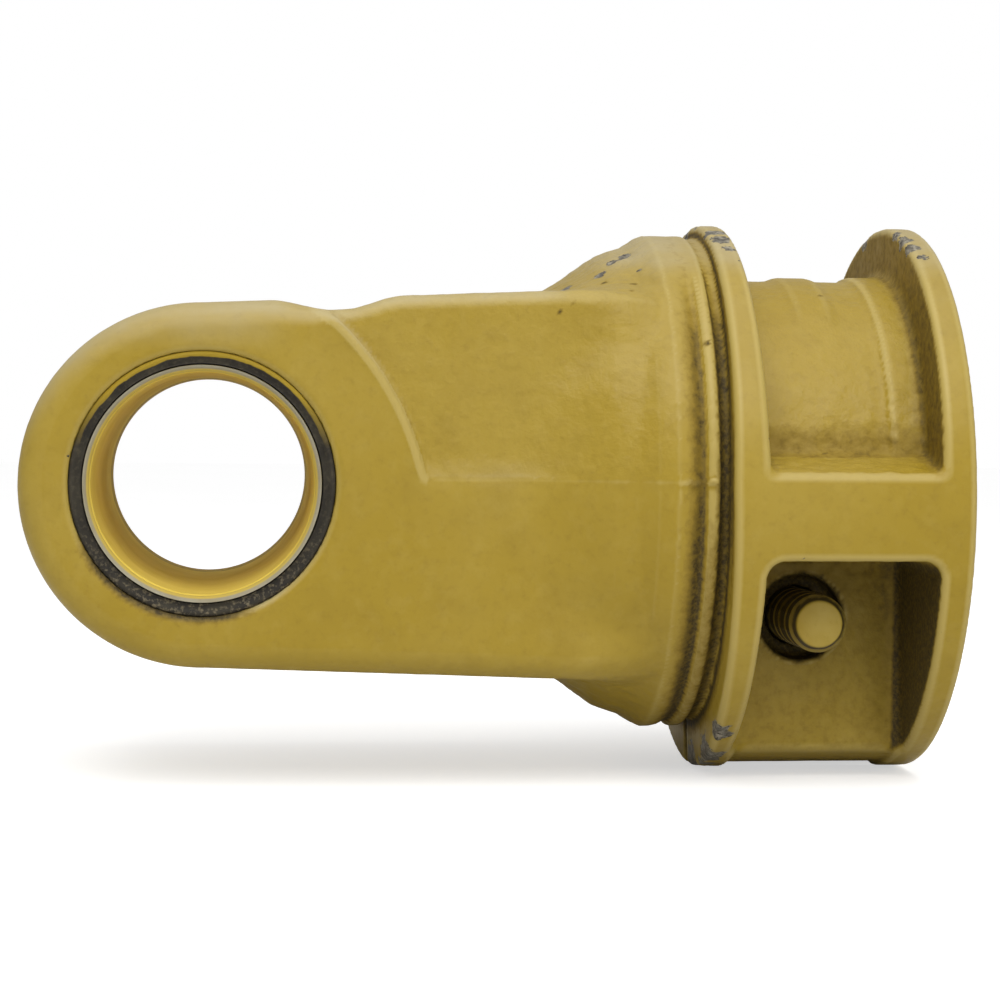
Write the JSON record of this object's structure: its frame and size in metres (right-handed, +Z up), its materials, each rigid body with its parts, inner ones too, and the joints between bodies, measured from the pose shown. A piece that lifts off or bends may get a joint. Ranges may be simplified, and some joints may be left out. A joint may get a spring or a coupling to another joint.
{
  "type": "hydraulic cylinder rod eye",
  "caption": "Cast clamp-type rod eye of a large hydraulic cylinder: bushed pin eye with dust seals, thick shank and a slit two-flange clamp collar with a cross bolt.",
  "frame": {"origin": "centre of the pin bore, halfway across the eye", "axes": "+X along the rod axis from the eye to the clamp collar, +Y along the pin bore, +Z up with the clamp slit and bolt below"},
  "size_m": [0.3177, 0.198, 0.198],
  "materials": {
    "yellow_paint": "ochre yellow enamel over rough cast steel, semi-gloss, chipped to bare grey metal on the flange rims and shoulder",
    "bushing_bronze": "dull machined bronze with an oil film",
    "seal_rubber": "matte black-grey rubber",
    "seal_polyurethane": "cream polyurethane, satin",
    "washer_steel": "hardened steel, dull",
    "bolt_paint": "bolt painted over with the casting, semi-gloss"
  },
  "bodies": {
    "eye": {"rod_eye": "yellow_paint", "pin_bushing": "bushing_bronze", "seal_ring_near": "seal_rubber", "seal_ring_far": "seal_rubber", "seal_lip_near": "seal_polyurethane", "seal_lip_far": "seal_polyurethane"},
    "washer": {"clamp_washer": "washer_steel"},
    "bolt": {"clamp_bolt": "bolt_paint"}
  },
  "joints": [
    {"name": "bolt_feed", "type": "slide", "parent": "eye", "child": "washer", "axis": [0, 1, 0], "range_m": [0, 0.0675]},
    {"name": "bolt_turn", "type": "hinge", "parent": "washer", "child": "bolt", "pos_m": [0.21, 0.04, -0.047], "axis": [0, 1, 0], "range_deg": [0, 9936]}
  ],
  "couplings": [
    {"joint": "bolt_turn", "follows": "bolt_feed", "rad_per_m": 2513.3}
  ]
}
